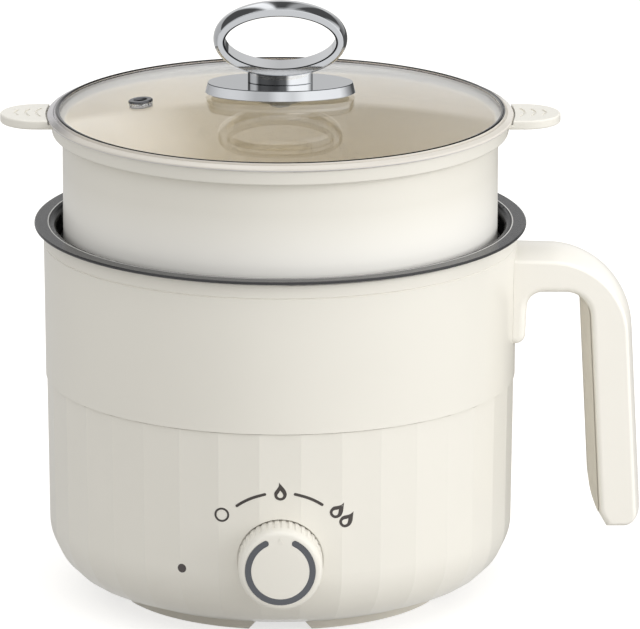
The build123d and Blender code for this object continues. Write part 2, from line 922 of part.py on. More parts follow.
def make_indicator_lens():
    face = facet_radius_bottom + indicator_proud
    lens = indicator_bar(indicator_radius, lower_inner_bottom - 3, face)
    return lens + indicator_bar(lamp_radius - lamp_wall, lower_inner_bottom - 4, lower_inner_bottom - 3)


def make_indicator_lamp():
    start = lower_inner_bottom - 4 - part_gap
    glass = indicator_bar(lamp_radius, start - lamp_length, start)
    leads = indicator_bar(0.5, start - lamp_length - 5, start - lamp_length)
    return glass + leads


def make_lamp_holder():
    end = lower_inner_bottom - 0.6
    start = end - lamp_length
    holder = indicator_bar(lamp_radius + lamp_wall, start, end)
    holder -= indicator_bar(lamp_radius + part_gap, start - 1, lower_inner_bottom - 4)
    holder -= indicator_bar(indicator_radius + part_gap, start, end + 1)
    return holder


# ---- power inlet -------------------------------------------------------------------------------
def make_inlet_housing():
    seat = facet_radius_top + inlet_pad_height
    half_width, half_height = inlet_width / 2, inlet_body_height / 2
    body = block(
        (-half_width, half_width),
        (seat - inlet_depth, seat + inlet_flange_thickness),
        (inlet_height - half_height, inlet_height + half_height),
    )
    flange = block(
        (-half_width - inlet_flange_margin, half_width + inlet_flange_margin),
        (seat, seat + inlet_flange_thickness),
        (inlet_height - half_height - inlet_flange_margin, inlet_height + half_height + inlet_flange_margin),
    )
    flange = fillet(flange.edges().filter_by(Axis.Y), 3.0)
    mouth = seat + inlet_flange_thickness
    socket = block(
        (-half_width + inlet_wall, half_width - inlet_wall),
        (mouth - inlet_socket_depth, mouth + 1),
        (inlet_height - half_height + inlet_wall, inlet_height + half_height - inlet_wall),
    )
    socket = chamfer(socket.edges().filter_by(Axis.Y).group_by(Axis.Z)[-1], 4.0)
    body = body + flange - socket
    for x, z in pin_places():
        body -= pin_bar(x, z, part_gap)
    return body


def pin_places():
    return (
        (-pin_spacing / 2, inlet_height - 2.0),
        (pin_spacing / 2, inlet_height - 2.0),
        (0.0, inlet_height + earth_rise - 1.0),
    )


def pin_bar(x, z, clearance=0.0):
    mouth = facet_radius_top + inlet_pad_height + inlet_flange_thickness
    back = mouth - inlet_socket_depth
    tail = facet_radius_top + inlet_pad_height - inlet_depth - pin_tail
    return block(
        (x - pin_thickness / 2 - clearance, x + pin_thickness / 2 + clearance),
        (tail, back + pin_length),
        (z - pin_width / 2 - clearance, z + pin_width / 2 + clearance),
    )


def make_inlet_pins():
    return group([pin_bar(x, z) for x, z in pin_places()])


# ---- terminal block and wiring -----------------------------------------------------------------
def block_point(index):
    """The middle of one way of the terminal block, on its top."""
    x, y = block_place
    step = block_length / 3
    return (x + (index - 1) * step, y, base_bottom + block_height)


def make_terminal_block():
    x, y = block_place
    body = block(
        (x - block_length / 2, x + block_length / 2),
        (y - block_width / 2, y + block_width / 2),
        (base_bottom, base_bottom + block_height),
    )
    for index in range(3):
        px, py, top = block_point(index)
        body -= round_bar(2.0, top - 3, top + 1, (px, py))
    for index in range(2):
        px = x + (index - 0.5) * block_length / 3
        body -= Pos(px, y, base_bottom + block_height) * Box(1.2, 2 * block_width, block_height)
    return body


def make_wire(points):
    path = FilletPolyline(*points, radius=wire_bend)
    start = Plane(origin=path @ 0, z_dir=path % 0)
    return sweep(start * Circle(wire_radius), path)


def make_wiring():
    tail = facet_radius_top + inlet_pad_height - inlet_depth - pin_tail
    level = base_bottom + block_height + 7
    wires = []
    for index, (x, z) in enumerate(pin_places()):
        px, py, top = block_point(index)
        wires.append(make_wire([
            (x, tail - 0.1, z),
            (x, tail - 7.5, z),
            (px, py, z - 10 + index),
            (px, py, top - 2.0),
        ]))
    switch_tail = -switch_back + switch_tab_length
    tab_height = knob_height - switch_tab_drop
    element_foot = plate_bottom - element_tube - part_gap - element_tail - element_pin
    for side, turn in ((-1, element_turn()), (1, element_turn() + element_arc)):
        x, y = element_end(turn)
        wires.append(make_wire([
            (side * switch_tab_pitch, switch_tail + 0.1, tab_height),
            (side * switch_tab_pitch, switch_tail + 9, tab_height),
            (side * wire_bay, switch_tail + 32, level),
            (side * wire_bay, y - 16, level),
            (x, y, level),
            (x, y, element_foot - 0.1),
        ]))
    return group(wires)


# ---- handle ------------------------------------------------------------------------------------
def grip_line(distance, height):
    """X of a line parallel to the grip, a distance inside its outer face, at a height."""
    lean = math.tan(math.radians(handle_tilt))
    start = handle_top - handle_outer_round
    return handle_reach - distance + (start - height) * lean


def handle_face():
    """Side outline of the arm, the grip and the root, in (x, z) terms."""
    wall = upper_radius_bottom - housing_wall
    skin = handle_skin
    low, _ = cover_span()
    end_edge = grip_line(grip_thickness - grip_end_inset, grip_end_height)
    return outline([
        (wall, handle_top + skin),
        (grip_line(-skin, handle_top), handle_top - handle_top_fall + skin, handle_outer_round + skin),
        (grip_line(-skin, grip_end_height), grip_end_height - skin, grip_end_round + skin),
        (end_edge, grip_end_height - skin, grip_corner_round),
        (grip_line(grip_thickness, low), low, grip_end_round),
        (grip_line(grip_thickness, arm_bottom), arm_bottom, arm_inner_round),
        (upper_radius_top + root_thickness, arm_bottom, root_inner_round),
        (upper_radius_bottom + root_foot_thickness, root_foot_height, root_foot_round),
        (wall, root_foot_height),
    ])


def handle_paring():
    """What is pared off a square-topped handle to leave its crowned outer surface."""
    path = FilletPolyline(
        (upper_radius_bottom - housing_wall - 1, 0, handle_top),
        (grip_line(0, handle_top), 0, handle_top - handle_top_fall),
        (grip_line(0, grip_end_height), 0, grip_end_height),
        (upper_radius_top, 0, grip_end_height),
        radius=(handle_outer_round, grip_end_round),
    )
    half = handle_width / 2 + paring_overlap
    above = 2 * handle_skin
    crown_radius = (half**2 + handle_crown**2) / (2 * handle_crown)
    crown = make_face(Curve(children=[
        ThreePointArc((-half, -handle_crown), (0, 0), (half, -handle_crown)),
        Line((half, -handle_crown), (half, -crown_radius)),
        Line((half, -crown_radius), (-half, -crown_radius)),
        Line((-half, -crown_radius), (-half, -handle_crown)),
    ])).face()
    shoulders = crown.vertices().group_by(Axis.Y)[-1]
    crown = crown.fillet_2d(handle_shoulder_round, shoulders)
    depth = handle_crown + handle_shoulder_round
    band = Pos(0, (above - depth) / 2) * Rectangle(handle_width + 2, above + depth)
    place = Plane(origin=path @ 0, x_dir=(0, 1, 0), z_dir=path % 0)
    return sweep(place * (band - crown), path)


def grip_frame(distance, height):
    """A plane on a line of the grip: x across it towards the body, z up along the grip."""
    lean = math.radians(handle_tilt)
    return Plane(
        origin=(grip_line(distance, height), 0, height),
        x_dir=(-math.cos(lean), 0, -math.sin(lean)),
        z_dir=(-math.sin(lean), 0, math.cos(lean)),
    )


def across_grip(distance, height):
    """A place on one line square to the grip, a distance inside its outer face."""
    return grip_frame(grip_thickness, height) * Pos(distance - grip_thickness, 0, 0)


def cover_span():
    """Lowest point of the grip's cover, and where it starts to bend into the arm."""
    return grip_end_height + grip_end_rise, arm_bottom - arm_inner_round


def make_handle_shell():
    body = extrude(Plane.XZ * handle_face(), handle_width / 2, both=True)
    side_edges = [edge for edge in body.edges() if abs(abs(edge.center().Y) - handle_width / 2) < 0.01]
    side_edges = [edge for edge in side_edges if edge.center().X > upper_radius_bottom]
    body = fillet(side_edges, handle_edge_round)
    body -= handle_paring()
    body -= upper_outside()
    low, high = cover_span()
    length = high - low - 10
    hollow = Box(
        grip_thickness - grip_wall,
        handle_width - 2 * grip_side_wall,
        length,
    )
    middle = (low + high) / 2
    body -= grip_frame(grip_thickness - (grip_thickness - grip_wall) / 2 + 0.01, middle) * hollow
    for height in handle_screw_heights:
        reach = upper_wall_radius(height) + handle_screw_depth
        start = upper_radius_bottom - 4 * housing_wall
        body -= side_bar(handle_screw_radius + part_gap, start, reach + 0.3, height)
    for height in cover_screw_heights():
        post = across_grip((grip_wall + grip_thickness) / 2 - 0.3, height) * Rot(0, 90, 0)
        body += post * Cylinder(cover_screw_radius + 1.6, grip_thickness - grip_wall + 0.5)
        bore = across_grip(grip_thickness, height) * Rot(0, 90, 0)
        body -= bore * Cylinder(cover_screw_radius + part_gap, 2 * cover_screw_depth + 1)
    return body


def side_bar(radius, near, far, height):
    """A cylinder along X at the handle's side."""
    return Pos((near + far) / 2, 0, height) * Rot(0, 90, 0) * Cylinder(radius, far - near)


def cover_screw_heights():
    low, high = cover_span()
    return (low + cover_screw_margin, high - cover_screw_margin)


def make_handle_cover():
    low, high = cover_span()
    step = cover_thickness
    turn = low + cover_end_rise
    inner_round = arm_inner_round - step
    under_arm = grip_line(grip_thickness + arm_inner_round, arm_bottom)
    arm_middle = arm_bottom + arm_thickness / 2
    grip_middle = grip_thickness / 2
    side = outline([
        (grip_line(grip_thickness, low), low),
        (grip_line(grip_thickness + step, turn), turn, cover_end_round),
        (grip_line(grip_thickness + step, arm_bottom), arm_bottom, inner_round),
        (under_arm, arm_bottom),
        (under_arm, arm_middle),
        (grip_line(grip_middle, arm_middle), arm_middle),
        (grip_line(grip_middle, low), low),
    ])
    base_half = handle_width / 2 - cover_inset
    half = cover_inner_width / 2
    reach = arm_inner_round - cover_tongue_inset
    body = extrude(Plane.XZ * (side - handle_face()), base_half, both=True)
    section = make_face(Polyline(
        (0, -base_half),
        (step, -half),
        (reach, -half),
        (reach, half),
        (step, half),
        (0, base_half),
        close=True,
    ))
    bar = extrude(section, arm_bottom - low + 40)
    body &= grip_frame(grip_thickness, low - 20) * bar
    for height in cover_screw_heights():
        place = across_grip(grip_thickness + step, height) * Rot(0, 90, 0)
        body -= place * Cylinder(cover_screw_radius + fit_clearance, 4 * step)
        body -= place * Cylinder(cover_screw_head_radius + fit_clearance, 2 * cover_screw_head_height)
    return body


def make_cover_screws():
    screws = []
    for height in cover_screw_heights():
        face = cover_thickness - cover_screw_head_height
        place = across_grip(grip_thickness + face, height)
        head = Pos(cover_screw_head_height / 2 - 0.1, 0, 0) * Rot(0, 90, 0) * Cylinder(
            cover_screw_head_radius, cover_screw_head_height - 0.2
        )
        shank_length = face + cover_screw_depth
        shank = Pos(-shank_length / 2, 0, 0) * Rot(0, 90, 0) * Cylinder(cover_screw_radius, shank_length)
        cross = Pos(cover_screw_head_height, 0, 0) * (Box(1.6, 2.6, 0.6) + Box(1.6, 0.6, 2.6))
        screws.append(place * (head + shank - cross))
    return group(screws)


def bracket_outer():
    middle = sum(handle_screw_heights) / len(handle_screw_heights)
    return upper_wall_radius(middle) - housing_wall - fit_clearance * 2


def make_handle_bracket():
    outer = bracket_outer()
    low = min(handle_screw_heights) - bracket_margin
    high = max(handle_screw_heights) + bracket_margin
    plate = sector(outer, outer - bracket_thickness, low, high, 90, bracket_span)
    for height in handle_screw_heights:
        plate -= side_bar(handle_screw_radius + fit_clearance, outer - 5, outer + 5, height)
    return plate


def make_handle_screws():
    seat = bracket_outer() - bracket_thickness - 2 * part_gap
    screws = []
    for height in handle_screw_heights:
        reach = upper_wall_radius(height) + handle_screw_depth
        head = side_bar(handle_screw_head_radius, seat - handle_screw_head_height, seat, height)
        cross = Pos(seat - handle_screw_head_height, 0, height) * (Box(1.6, 3.4, 0.8) + Box(1.6, 0.8, 3.4))
        screws.append(head + side_bar(handle_screw_radius, seat, reach, height) - cross)
    return group(screws)


# ---- steamer -----------------------------------------------------------------------------------
def ear_solid(side):
    """One ear with its grip grooves; the lid's skirt keeps clear of its root."""
    top = steamer_height + ear_top_rise
    low = top - ear_thickness
    centre = side * ear_centre
    inner, outer = sorted((side * (steamer_radius + 1.0), centre))
    plate = block((inner, outer), (-ear_radius, ear_radius), (low, top))
    plate += round_bar(ear_radius, low, top, (centre, 0))
    rims = [
        edge for edge in plate.edges()
        if abs(edge.center().X) > steamer_radius + 4
        and (edge.center().Z > top - 0.01 or edge.center().Z < low + 0.01)
    ]
    plate = fillet(rims, ear_edge_round)
    plate -= round_bar(band_outer_radius + 0.5, steamer_height - 0.4, top + 1)
    for place, length in zip(ear_groove_places, ear_groove_lengths):
        plate -= ear_groove(side, ear_centre + place, length, top)
    return plate


def ear_groove(side, distance, length, top):
    """A shallow curved groove across the ear, bowed towards its tip."""
    bow = length * 0.9
    path = ThreePointArc(
        (side * (distance - length**2 / (8 * bow)), -length / 2, top),
        (side * distance, 0, top),
        (side * (distance - length**2 / (8 * bow)), length / 2, top),
    )
    section = Plane(origin=path @ 0, z_dir=path % 0) * Rectangle(ear_groove_width, 2 * ear_groove_depth)
    return sweep(section, path)


def make_steamer_basket():
    wall_inner = steamer_radius - steamer_wall
    plug = pot_lower_inner - steamer_plug_clearance
    shoulder = steamer_height - collar_height
    body = turned([
        (0, steamer_bottom),
        (plug, steamer_bottom, 3.0),
        (plug, steamer_seat),
        (steamer_radius, steamer_seat, steamer_seat_round),
        (steamer_radius, shoulder),
        (collar_radius_bottom, shoulder, 0.9),
        (collar_radius_top, steamer_height, 0.4),
        (collar_inner, steamer_height),
        (collar_inner, steamer_height - collar_ledge, 0.6),
        (wall_inner, steamer_height - collar_ledge, 0.8),
        (wall_inner, steamer_seat + steamer_seat_round + 0.7, 2.0),
        (plug - steamer_wall, steamer_seat - 0.5, 2.0),
        (plug - steamer_wall, steamer_bottom + steamer_wall, 3.0),
        (0, steamer_bottom + steamer_wall),
    ])
    for side in (-1, 1):
        body += ear_solid(side) - round_bar(collar_inner + 0.5, 0, steamer_height + 20)
    holes = [round_bar(steam_hole_radius, steamer_bottom - 1, steamer_bottom + steamer_wall + 1)]
    for step, share in enumerate(steam_hole_shares):
        count = steam_hole_count * (step + 1)
        for index in range(count):
            at = spot(share * plug, 360 / count * index)[:2]
            holes.append(
                round_bar(steam_hole_radius, steamer_bottom - 1, steamer_bottom + steamer_wall + 1, at)
            )
    return body - holes


# ---- lid ---------------------------------------------------------------------------------------
def dome_height(radius):
    """Height of the glass's upper surface at a radius."""
    return glass_top - glass_sphere + math.sqrt(glass_sphere**2 - radius**2)


def dome_body(top, thickness, radius):
    """A round spherical cap of even thickness."""
    centre = Pos(0, 0, top - glass_sphere)
    shell = centre * Sphere(glass_sphere) - centre * Sphere(glass_sphere - thickness)
    return shell & round_bar(radius, top - 2 * glass_rise - thickness, top + 1)


def make_lid_glass():
    glass = dome_body(glass_top, glass_thickness, glass_radius)
    glass -= round_bar(glass_hole_radius, glass_top - 20, glass_top + 10)
    return glass - vent_frame() * Cylinder(vent_hole_radius, 30)


def vent_frame():
    """The place of the vent eyelet, square to the glass."""
    x, y = vent_place
    radius = math.hypot(x, y)
    height = dome_height(radius)
    centre = glass_top - glass_sphere
    return Location(Plane(origin=(x, y, height), x_dir=(0, 1, 0), z_dir=(x, y, height - centre)))


def make_rim_band():
    top = dome_height(band_inner_radius)
    crown = top + band_crown
    channel = band_channel_radius
    low = dome_height(glass_radius) - glass_thickness - band_wall
    hem_top = lid_seat + band_hem_height
    body = turned([
        (band_inner_radius, low, 0.2),
        (band_inner_radius, crown - 0.35),
        (band_inner_radius + band_cover * 0.55, crown, 0.5),
        (channel, crown - 0.35, 0.4),
        (channel, hem_top - band_crease),
        (channel + band_crease, hem_top - band_crease),
        (channel + 2 * band_crease, hem_top, 0.25),
        (band_outer_radius, lid_seat + band_hem_height * 0.45, 0.7),
        (band_outer_radius, lid_seat, 0.2),
        (channel, lid_seat),
        (channel, low, 0.3),
    ])
    return body - dome_body(glass_top, glass_thickness, glass_radius)


def make_vent_eyelet():
    flange = vent_flange_thickness
    eyelet = Pos(0, 0, flange / 2 + part_gap / 2) * Cylinder(vent_flange_radius, flange)
    eyelet = fillet(eyelet.edges().sort_by(Axis.Z)[-1], flange * 0.6)
    neck = glass_thickness + 2 * flange
    eyelet += Pos(0, 0, -neck / 2 + flange) * Cylinder(vent_hole_radius - part_gap, neck)
    eyelet += Pos(0, 0, -glass_thickness - flange / 2 - part_gap) * Cylinder(vent_flange_radius - 0.3, flange)
    eyelet -= Cylinder(vent_bore_radius, 60)
    mouth = Pos(0, 0, flange + 0.1) * Cone(vent_bore_radius, vent_bore_radius + 1.3, 1.6)
    return vent_frame() * (eyelet - mouth)


def make_disc_gasket():
    oval = Ellipse(disc_half_length - gasket_margin, disc_half_width - gasket_margin)
    pad = Pos(0, 0, disc_bottom - 4) * extrude(oval, 4)
    pad -= dome_body(glass_top, 20, glass_radius)
    return pad - round_bar(glass_hole_radius, 0, disc_bottom + 1)


def make_base_disc():
    disc = Pos(0, 0, disc_bottom) * extrude(
        Ellipse(disc_half_length, disc_half_width), disc_thickness, taper=disc_taper
    )
    return disc - round_bar(lid_screw_radius + fit_clearance, 0, disc_top + 1)


def ring_outline(thickness, depth):
    """The ring's section at its right-hand point: flat inside, crowned outside."""
    half = depth / 2
    inner = ring_half_length
    edge = inner + thickness
    edges = (
        Line((inner, -half), (edge, -half)),
        ThreePointArc((edge, -half), (edge + ring_crown, 0), (edge, half)),
        Line((edge, half), (inner, half)),
        Line((inner, half), (inner, -half)),
    )
    face = make_face(Curve(children=list(edges))).face()
    return face.fillet_2d(ring_edge_round, face.vertices())


def make_ring_handle():
    path = Plane.XZ * Ellipse(ring_half_length, ring_half_height).edge()
    loop = sweep(ring_outline(ring_edge_thickness, ring_depth), path)
    return Pos(0, 0, ring_centre) * loop


def make_lid_post():
    rise = ring_centre - ring_half_height - disc_top
    post = Pos(0, 0, disc_top) * extrude(Ellipse(post_half_length, post_half_width), rise + 3)
    post = fillet(post.edges().sort_by(Axis.Z)[0], post_foot_round)
    post -= make_ring_handle()
    post = post.solids().sort_by(Axis.Z)[0]
    return post - round_bar(lid_screw_radius + part_gap, 0, disc_top + post_height - 0.6)


def make_lid_washer():
    low = glass_top - glass_thickness - washer_thickness
    washer = round_bar(washer_radius, low, glass_top)
    washer -= dome_body(glass_top, glass_thickness, glass_radius)
    washer = washer.solids().sort_by(Axis.Z)[0]
    return washer - round_bar(lid_screw_radius + fit_clearance, 0, glass_top + 1)


def make_lid_screw():
    seat = glass_top - glass_thickness - washer_thickness
    head = round_bar(lid_screw_head_radius, seat - lid_screw_head_height, seat)
    head = fillet(head.edges().sort_by(Axis.Z)[0], 1.0)
    shank = round_bar(lid_screw_radius, seat, disc_top + post_height - 1.0)
    cross = Pos(0, 0, seat - lid_screw_head_height) * (Box(4.6, 0.9, 2.2) + Box(0.9, 4.6, 2.2))
    return head + shank - cross


# ---- every sub-part, by the name of its file ---------------------------------------------------
PARTS = {
    "upper_housing": make_upper_housing,
    "lower_housing": make_lower_housing,
    "inner_pot": make_inner_pot,
    "flange_seal": make_flange_seal,
    "base_cover": make_base_cover,
    "rubber_pads": make_pads,
    "base_screws": make_base_screws,
    "heating_plate": make_heating_plate,
    "heating_element": make_heating_element,
    "heat_shield": make_heat_shield,
    "tie_studs": make_tie_studs,
    "stud_nuts": make_stud_nuts,
    "thermostat": make_thermostat,
    "thermostat_strap": make_thermostat_strap,
    "strap_screws": make_strap_screws,
    "thermal_fuse": make_thermal_fuse,
    "fuse_clip": make_fuse_clip,
    "rotary_switch": make_rotary_switch,
    "switch_nut": make_switch_nut,
    "switch_shaft": make_switch_shaft,
    "control_knob": make_control_knob,
    "knob_trim_ring": lambda: face_knob(make_trim_ring()),
    "knob_clip": make_knob_clip,
    "indicator_lens": make_indicator_lens,
    "indicator_lamp": make_indicator_lamp,
    "lamp_holder": make_lamp_holder,
    "inlet_housing": make_inlet_housing,
    "inlet_pins": make_inlet_pins,
    "terminal_block": make_terminal_block,
    "wiring": make_wiring,
    "handle_shell": make_handle_shell,
    "handle_cover": make_handle_cover,
    "cover_screws": make_cover_screws,
    "handle_bracket": make_handle_bracket,
    "handle_screws": make_handle_screws,
    "steamer_basket": make_steamer_basket,
    "lid_glass": make_lid_glass,
    "lid_rim_band": make_rim_band,
    "vent_eyelet": make_vent_eyelet,
    "disc_gasket": make_disc_gasket,
    "lid_base_disc": make_base_disc,
    "lid_post": make_lid_post,
    "ring_handle": make_ring_handle,
    "lid_washer": make_lid_washer,
    "lid_screw": make_lid_screw,
}

os.makedirs("parts", exist_ok=True)
for name, make in PARTS.items():
    export_step(make(), f"parts/{name}.step")
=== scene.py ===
import json
import math

import bmesh
import bpy
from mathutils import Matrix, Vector
from mathutils.bvhtree import BVHTree


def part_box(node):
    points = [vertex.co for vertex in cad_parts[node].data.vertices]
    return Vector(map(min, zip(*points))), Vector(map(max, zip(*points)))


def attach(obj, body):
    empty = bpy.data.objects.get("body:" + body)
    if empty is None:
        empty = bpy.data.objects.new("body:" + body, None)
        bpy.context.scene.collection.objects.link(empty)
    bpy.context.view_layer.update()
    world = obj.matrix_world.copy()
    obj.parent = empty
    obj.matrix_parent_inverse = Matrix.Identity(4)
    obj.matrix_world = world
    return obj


# The looks of an electric hot pot with a steamer and a glass lid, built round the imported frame.
# Sizes are in millimetres, which MM turns into the frame's metres, where no comment says otherwise.

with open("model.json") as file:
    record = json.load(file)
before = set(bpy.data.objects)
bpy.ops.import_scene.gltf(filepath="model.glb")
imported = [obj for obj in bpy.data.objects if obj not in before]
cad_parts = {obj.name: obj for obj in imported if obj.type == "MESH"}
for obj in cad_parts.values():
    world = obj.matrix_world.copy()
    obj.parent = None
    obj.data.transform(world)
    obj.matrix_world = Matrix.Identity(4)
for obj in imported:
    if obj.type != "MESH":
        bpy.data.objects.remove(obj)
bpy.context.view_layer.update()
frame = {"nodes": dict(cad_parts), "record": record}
MM = 0.001


def span(node):
    """(lowest, highest) corner of a CAD node in millimetres."""
    low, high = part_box(node)
    return low / MM, high / MM


# ---- shader nodes ------------------------------------------------------------------------------
BLACK = (0.0, 0.0, 0.0)
WHITE = (1.0, 1.0, 1.0)
# Nearly all of a noise lies in this range.
NOISE_LOW = 0.3
NOISE_HIGH = 0.7
BUMP_STRENGTH = 0.5
LEVEL_FADE = 0.06
# How far a level band reaches past a piece where the piece itself ends it.
PAST = 1.0


def linear(*shades):
    """Linear red, green and blue from display shades of 0 to 255."""
    return tuple((s / 255 / 12.92) if s <= 10 else ((s / 255 + 0.055) / 1.055) ** 2.4 for s in shades)


def grey(level):
    """A linear grey."""
    return (level, level, level)


class Nodes:
    """A node tree, with short calls for the nodes used here.

    A share is a value from 0 to 1 that tells how much of a look a place gets.
    """

    def __init__(self, tree):
        self.tree = tree

    def add(self, kind, **values):
        """A new node with its properties set."""
        node = self.tree.nodes.new(kind)
        for key, value in values.items():
            setattr(node, key, value)
        return node

    def link(self, source, target):
        self.tree.links.new(source, target)

    def feed(self, target, value):
        """Links a socket from another one, or sets it to a plain value."""
        if isinstance(value, bpy.types.NodeSocket):
            self.link(value, target)
        else:
            target.default_value = value

    def shader(self, socket):
        """A socket of the material's main shader."""
        return self.tree.nodes["Principled BSDF"].inputs[socket]

    def own_place(self):
        """The place on the object in its own metres, which moves with it."""
        return self.add("ShaderNodeTexCoord").outputs["Object"]

    def ray(self, kind):
        """1 for rays of a kind."""
        return self.add("ShaderNodeLightPath").outputs[f"Is {kind} Ray"]

    def calculate(self, operation, *terms, clamp=False):
        """The result of a maths node, whose terms are sockets or numbers."""
        node = self.add("ShaderNodeMath", operation=operation, use_clamp=clamp)
        for target, term in zip(node.inputs, terms):
            self.feed(target, term)
        return node.outputs[0]

    def either(self, first, second):
        """1 where either of two values is 1."""
        return self.calculate("ADD", first, second, clamp=True)

    def both(self, first, second):
        """1 where both of two values are 1."""
        return self.calculate("MULTIPLY", first, second)

    def seen(self):
        """1 for rays that come straight from the camera or through glass."""
        return self.either(self.ray("Camera"), self.ray("Transmission"))

    def part(self, vector, name):
        """The X, Y or Z of a vector."""
        split = self.add("ShaderNodeSeparateXYZ")
        self.link(vector, split.inputs[0])
        return split.outputs[name]

    def mapped(self, vector, scale, shift=(0, 0, 0)):
        """A vector scaled along each axis and then shifted."""
        node = self.add("ShaderNodeMapping")
        node.inputs["Scale"].default_value = scale
        node.inputs["Location"].default_value = shift
        self.link(vector, node.inputs["Vector"])
        return node.outputs["Vector"]

    def length(self, vector):
        node = self.add("ShaderNodeVectorMath", operation="LENGTH")
        self.link(vector, node.inputs[0])
        return node.outputs["Value"]

    def radius(self, vector):
        """A vector's distance from the upright axis."""
        return self.length(self.mapped(vector, (1, 1, 0)))

    def noise(self, place, scale, detail=3.0, stretch=None):
        """Noise over places, the finer the higher its scale is."""
        if stretch:
            place = self.mapped(place, stretch)
        node = self.add("ShaderNodeTexNoise")
        node.inputs["Scale"].default_value = scale
        node.inputs["Detail"].default_value = detail
        self.link(place, node.inputs["Vector"])
        return node.outputs["Fac"]

    def bump(self, height, relief):
        """A normal that follows a height, whose full range is a relief in mm."""
        node = self.add("ShaderNodeBump")
        node.inputs["Strength"].default_value = BUMP_STRENGTH
        node.inputs["Distance"].default_value = relief * MM
        self.link(height, node.inputs["Height"])
        return node.outputs["Normal"]

    def spread(self, value, low, high, from_low=NOISE_LOW, from_high=NOISE_HIGH):
        """A value taken from one range to low and high, and held there past the range's ends."""
        node = self.add("ShaderNodeMapRange")
        node.inputs["From Min"].default_value = from_low
        node.inputs["From Max"].default_value = from_high
        node.inputs["To Min"].default_value = low
        node.inputs["To Max"].default_value = high
        self.link(value, node.inputs["Value"])
        return node.outputs["Result"]

    def within(self, place, limit, fade):
        """A share that is 1 inside a radius in mm."""
        return self.spread(self.radius(place), 1, 0, (limit - fade) * MM, limit * MM)

    def level_band(self, place, low, high, fade=LEVEL_FADE):
        """A share that is 1 between two heights in mm."""
        height = self.part(place, "Z")
        above = self.spread(height, 0, 1, (low - fade) * MM, low * MM)
        below = self.spread(height, 1, 0, high * MM, (high + fade) * MM)
        return self.both(above, below)

    def between(self, value, first, second):
        """The colour first where value is 0 and second where it is 1."""
        node = self.add("ShaderNodeMix", data_type="RGBA")
        for socket, colour in (("A", first), ("B", second)):
            self.feed(node.inputs[socket], (*colour, 1) if isinstance(colour, tuple) else colour)
        self.link(value, node.inputs["Factor"])
        return node.outputs["Result"]

    def mixed(self, value, first, second):
        """The shader first where value is 0 and second where it is 1."""
        node = self.add("ShaderNodeMixShader")
        self.link(value, node.inputs["Fac"])
        self.link(first, node.inputs[1])
        self.link(second, node.inputs[2])
        return node.outputs[0]

    def ramp(self, value, stops):
        """A grey through (place, brightness) stops, with places from 0 to 1."""
        node = self.add("ShaderNodeValToRGB")
        points = node.color_ramp.elements
        while len(points) < len(stops):
            points.new(0.5)
        for point, (place, level) in zip(points, sorted(stops)):
            point.position = place
            point.color = (*grey(level), 1)
        self.link(value, node.inputs["Fac"])
        return node.outputs["Color"]

    def around(self, vector, stops):
        """A grey by a vector's azimuth from the front, through (degrees, brightness) stops."""
        forward = self.calculate("MULTIPLY", self.part(vector, "Y"), -1)
        turn = self.calculate("ARCTAN2", self.part(vector, "X"), forward)
        share = self.spread(turn, 0, 1, -math.pi, math.pi)
        return self.ramp(share, [((degrees + 180) / 360, level) for degrees, level in stops])

    def rings(self, vector, base, rings):
        """A grey by azimuth, from a base and the rings that follow it as the vector rises.

        Each ring has the elevations in degrees where it starts and where it is full, and its stops.
        """
        height = self.part(vector, "Z")
        colour = self.around(vector, base)
        for start, full, stops in rings:
            share = self.spread(height, 0, 1, math.sin(math.radians(start)), math.sin(math.radians(full)))
            colour = self.between(share, colour, self.around(vector, stops))
        return colour


# ---- kinds of material -------------------------------------------------------------------------
BROAD_SCALE = 14.0
FINE_DETAIL = 2.0
CREAM = (231, 228, 219)
CHROME = (203, 205, 208)
# How brushing and rolling draw the grain out along each axis.
BRUSHED = (1, 1, 30)
ROLLED = (1, 12, 1)
GLASS_DRIFT = 0.01
GLASS_IOR = 1.48
GLASS_SHADOW = (244, 243, 240)
SMEAR_SCALE = 30.0
SMEAR_DETAIL = 5.0
SMEAR_RANGE = (0.55, 0.8)
SMEAR_ROUGHNESS = 0.03


def coloured(name, shade, drift):
    """A new material whose colour drifts a little about a display shade, with its nodes."""
    material = bpy.data.materials.new(name)
    material.use_nodes = True
    nodes = Nodes(material.node_tree)
    colour = linear(*shade)
    darker = tuple(c * (1 - drift) for c in colour)
    lighter = tuple(min(1, c * (1 + drift)) for c in colour)
    broad = nodes.spread(nodes.noise(nodes.own_place(), BROAD_SCALE), 0, 1)
    nodes.link(nodes.between(broad, darker, lighter), nodes.shader("Base Color"))
    return material, nodes


def surface(name, shade, drift, roughness, wander, grain, relief, stretch=None, **sockets):
    """A solid material with a fine grain of a relief in mm, along which its roughness wanders."""
    material, nodes = coloured(name, shade, drift)
    fine = nodes.noise(nodes.own_place(), grain, FINE_DETAIL, stretch)
    nodes.link(nodes.spread(fine, roughness - wander, roughness + wander), nodes.shader("Roughness"))
    nodes.link(nodes.bump(fine, relief), nodes.shader("Normal"))
    for socket, value in sockets.items():
        nodes.shader(socket.replace("_", " ")).default_value = value
    return material


